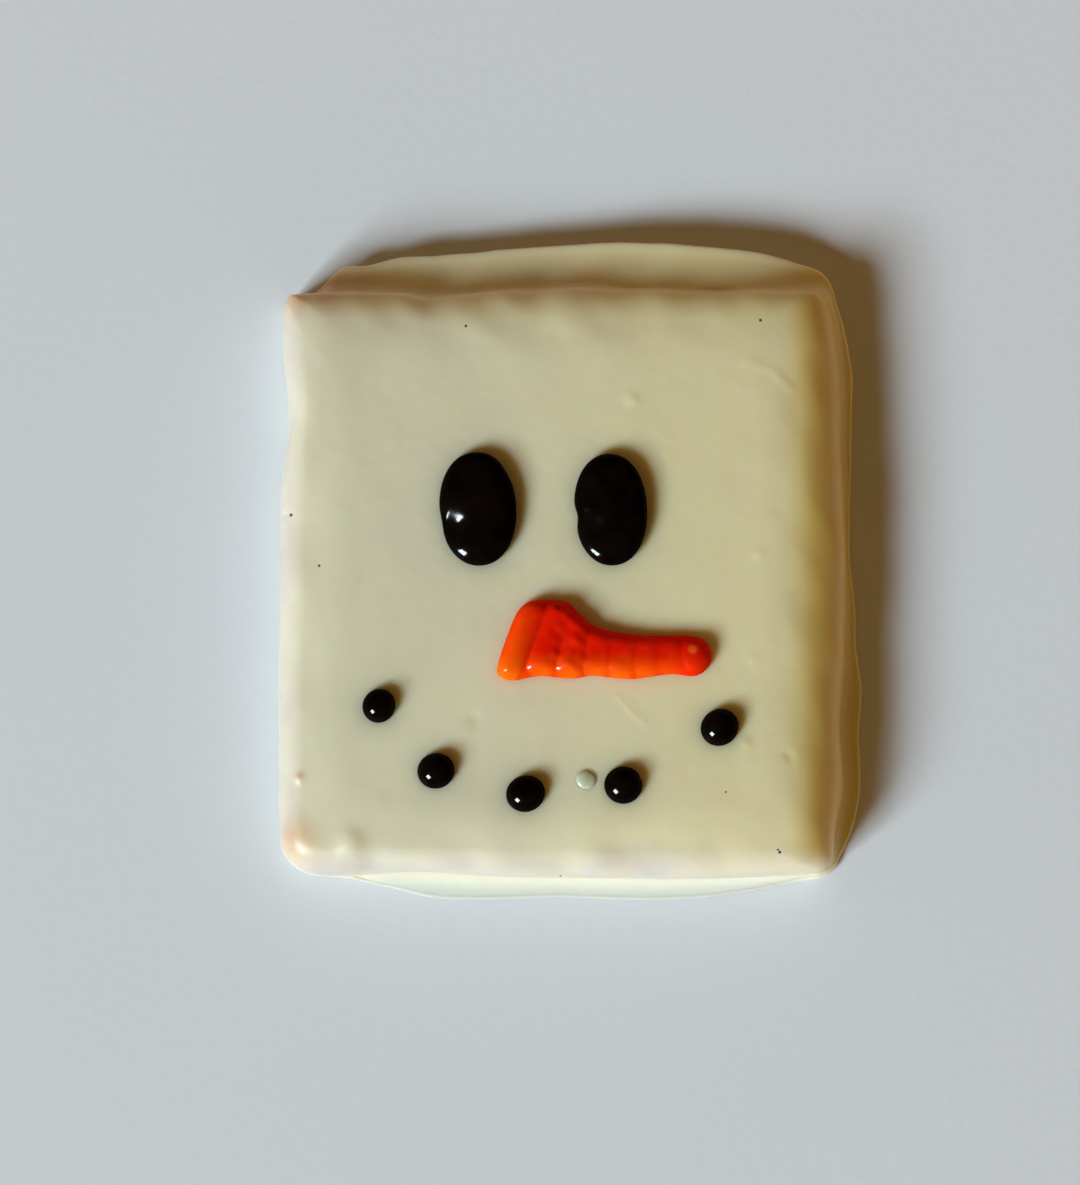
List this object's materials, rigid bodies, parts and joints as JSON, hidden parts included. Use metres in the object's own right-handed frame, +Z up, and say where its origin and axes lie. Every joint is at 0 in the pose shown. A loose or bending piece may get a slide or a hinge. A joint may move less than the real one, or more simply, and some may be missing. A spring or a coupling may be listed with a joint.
{
  "type": "coated cracker square",
  "caption": "Square cracker under a smooth white coating that has run out into a thin foot, piped with a snowman face: eyes, a carrot nose and a mouth of round drops.",
  "frame": {"origin": "middle of the underside, on the surface that the cracker lies on", "axes": "+Z up out of the decorated face; +Y up the face, from the mouth to the eyes; +X across it, to the right as the face is seen"},
  "size_m": [0.0622, 0.0703, 0.0117],
  "materials": {
    "white_chocolate": "smooth satin gloss, slightly waxy, with a faint brown tinge where the coat is thin at the corners",
    "dark_chocolate": "wet gloss, almost black",
    "orange_icing": "gloss, deeper red in the grooves between the piped strokes"
  },
  "bodies": {
    "root": {"coated_cracker": "white_chocolate", "eye_left": "dark_chocolate", "eye_right": "dark_chocolate", "carrot_nose": "orange_icing", "mouth_drop_1": "dark_chocolate", "mouth_drop_2": "dark_chocolate", "mouth_drop_3": "dark_chocolate", "mouth_drop_4": "dark_chocolate", "mouth_drop_5": "dark_chocolate"}
  },
  "joints": []
}
